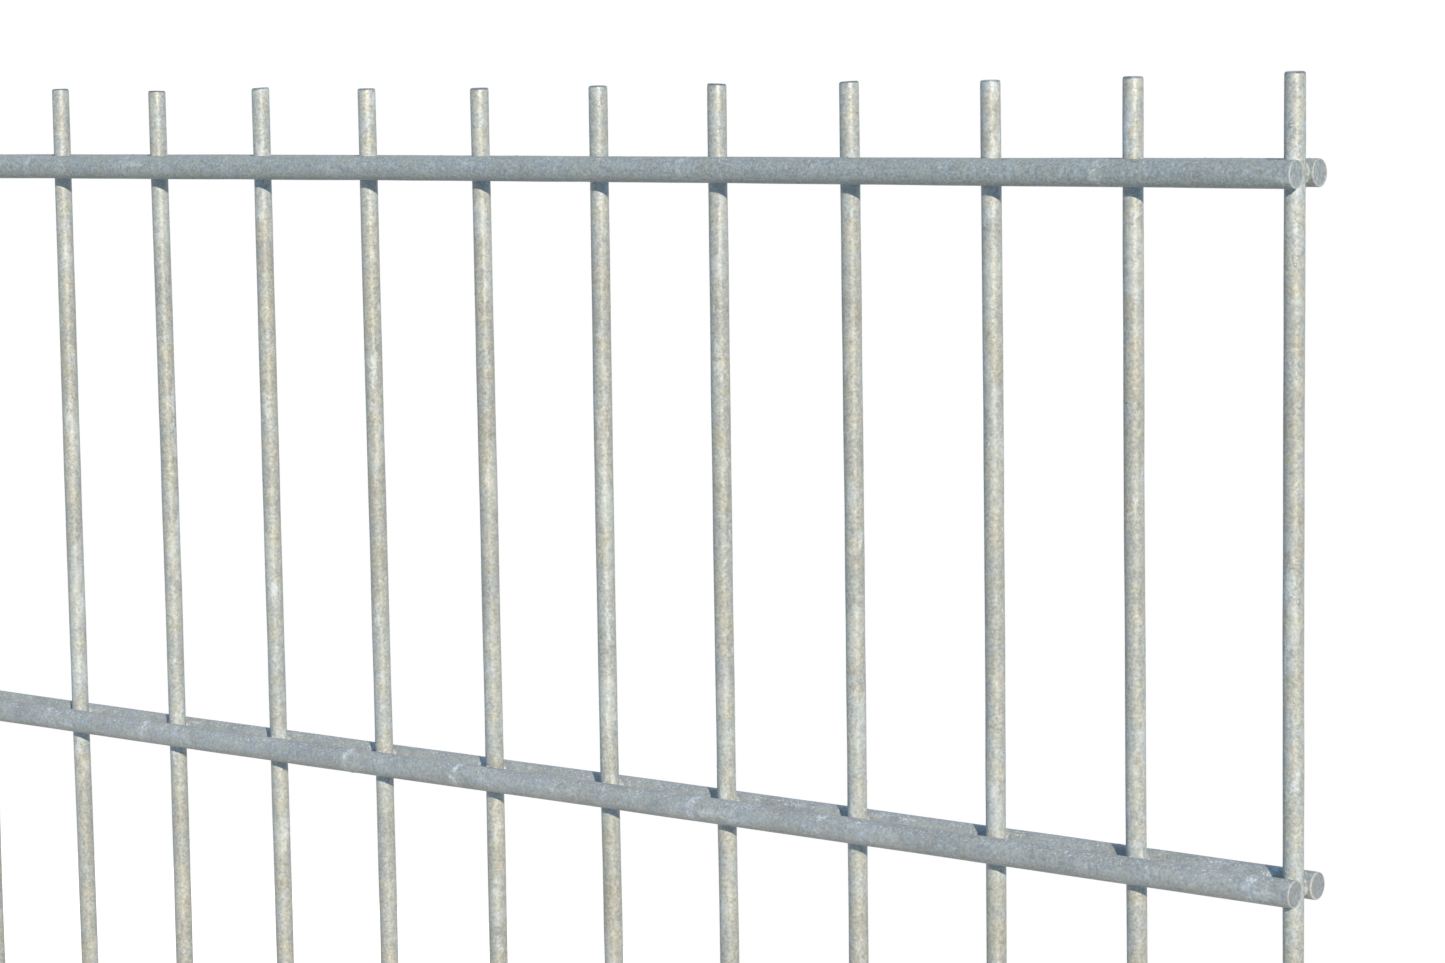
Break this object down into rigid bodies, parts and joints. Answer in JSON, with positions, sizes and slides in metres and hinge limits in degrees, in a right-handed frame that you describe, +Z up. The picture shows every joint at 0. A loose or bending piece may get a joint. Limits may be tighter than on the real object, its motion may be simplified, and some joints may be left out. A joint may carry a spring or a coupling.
{
  "type": "welded mesh fence panel",
  "caption": "Flat galvanised fence panel of round steel bars: thin uprights gripped between paired front and back rails, with free upright tips along the top.",
  "frame": {"origin": "centre of the cut lower end of the middle upright, level with the underside of the bottom rails", "axes": "+X along the panel to the right in the picture, +Y from the front rails to the back rails, +Z up"},
  "size_m": [2.51, 0.021, 1.03],
  "materials": {
    "galvanised_rail": "hot-dip zinc, dull grey with fine pale specks",
    "galvanised_upright": "hot-dip zinc, pale satin grey with soft mottling"
  },
  "bodies": {
    "root": {"bottom_rail_front": "galvanised_rail", "bottom_rail_back": "galvanised_rail", "rail_2_front": "galvanised_rail", "rail_2_back": "galvanised_rail", "rail_3_front": "galvanised_rail", "rail_3_back": "galvanised_rail", "rail_4_front": "galvanised_rail", "rail_4_back": "galvanised_rail", "rail_5_front": "galvanised_rail", "rail_5_back": "galvanised_rail", "top_rail_front": "galvanised_rail", "top_rail_back": "galvanised_rail", "left_end_upright": "galvanised_upright", "middle_upright": "galvanised_upright", "right_end_upright": "galvanised_upright", "left_uprights_1": "galvanised_upright", "right_uprights_1": "galvanised_upright", "left_uprights_2": "galvanised_upright", "right_uprights_2": "galvanised_upright", "left_uprights_3": "galvanised_upright", "right_uprights_3": "galvanised_upright", "left_uprights_4": "galvanised_upright", "right_uprights_4": "galvanised_upright", "left_uprights_5": "galvanised_upright", "right_uprights_5": "galvanised_upright", "left_uprights_6": "galvanised_upright", "right_uprights_6": "galvanised_upright"}
  },
  "joints": []
}
